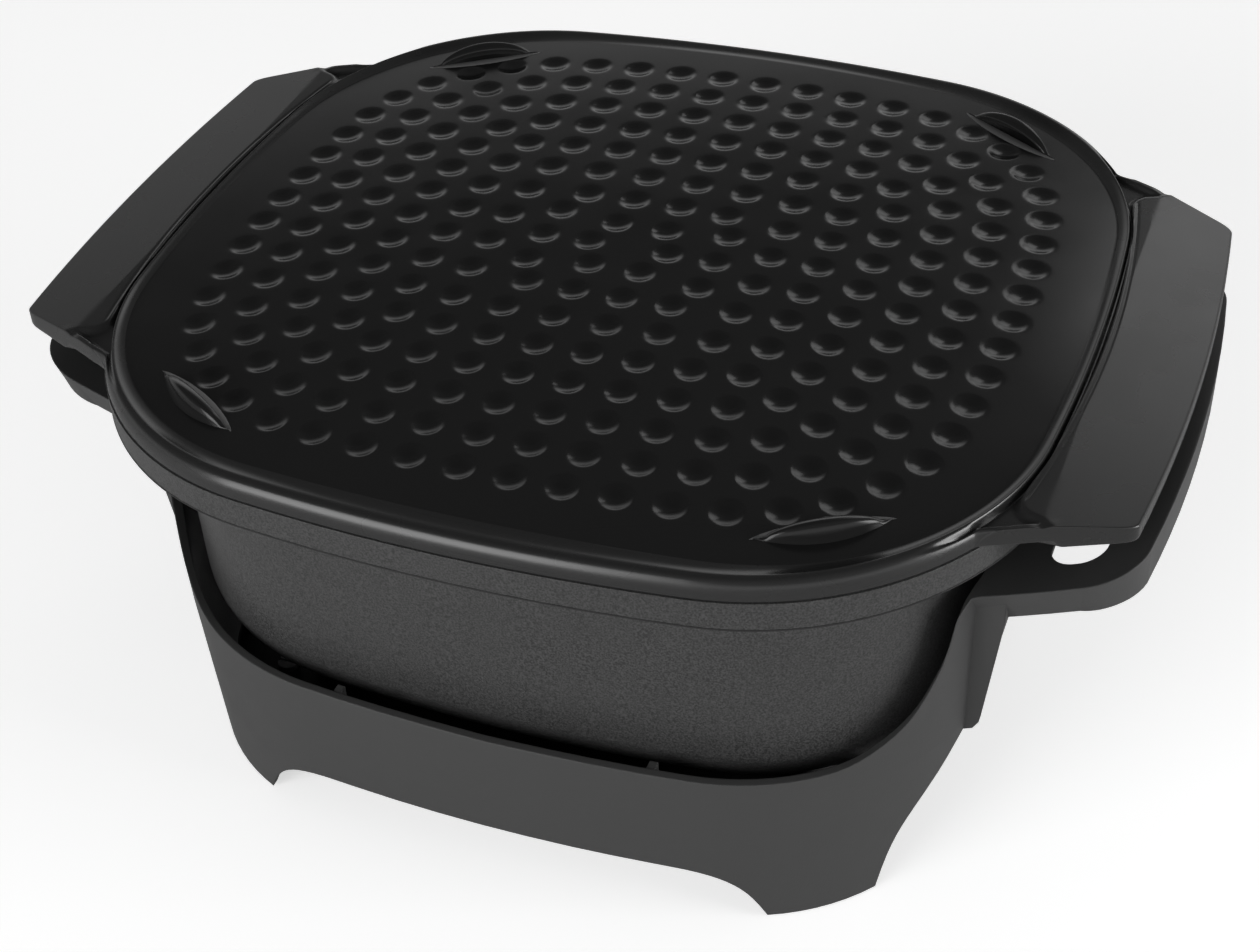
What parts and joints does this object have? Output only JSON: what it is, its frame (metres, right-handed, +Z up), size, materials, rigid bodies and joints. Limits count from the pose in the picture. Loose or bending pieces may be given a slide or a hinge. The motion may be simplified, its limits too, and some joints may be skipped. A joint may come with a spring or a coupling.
{
  "type": "electric roasting pan",
  "caption": "Rounded-square roasting pot with a dimpled lift-off lid and lifting wings, in an open cradle on legs with finger-slot handles; the element is cast into the pot floor.",
  "frame": {"origin": "under the middle of the pan, on the plane its four rubber feet stand on", "axes": "+Z up; +X towards the right-hand handle seen from the front, so the probe socket is on -X; -Y is the front, where the cradle is cut low"},
  "size_m": [0.424, 0.33, 0.1766],
  "materials": {
    "base_plastic": "fine matt texture, heat resistant",
    "shield_sheet": "matt black heat-resistant paint on steel sheet",
    "screw_steel": "plain zinc-plated",
    "foot_rubber": "matt",
    "pad_silicone": "matt",
    "pot_casting": "satin speckled non-stick coating on cast aluminium",
    "element_tube": "satin",
    "pin_plating": "polished plating",
    "bush_ceramic": "matt white",
    "guard_plastic": "matt",
    "contact_spring": "plain",
    "lid_enamel": "gloss black coating on cast metal"
  },
  "bodies": {
    "base": {"base_cradle": "base_plastic", "heat_shield": "shield_sheet", "shield_screws": "screw_steel", "foot_right_back": "foot_rubber", "foot_left_back": "foot_rubber", "foot_right_front": "foot_rubber", "foot_left_front": "foot_rubber", "rest_pad_right_back": "pad_silicone", "rest_pad_left_back": "pad_silicone", "rest_pad_right_front": "pad_silicone", "rest_pad_left_front": "pad_silicone"},
    "pot": {"pot": "pot_casting", "heating_element": "element_tube", "terminal_pin_back": "pin_plating", "terminal_pin_front": "pin_plating", "ceramic_bush_back": "bush_ceramic", "ceramic_bush_front": "bush_ceramic", "sensor_well": "element_tube", "socket_guard": "guard_plastic", "guard_screws": "screw_steel", "earth_contact": "contact_spring"},
    "lid": {"lid": "lid_enamel"}
  },
  "joints": [
    {"name": "pot_lift_out", "type": "slide", "parent": "base", "child": "pot", "axis": [0, 0, 1], "range_m": [0, 0.18]},
    {"name": "lid_lift_off", "type": "slide", "parent": "pot", "child": "lid", "axis": [0, 0, 1], "range_m": [0, 0.15]}
  ]
}
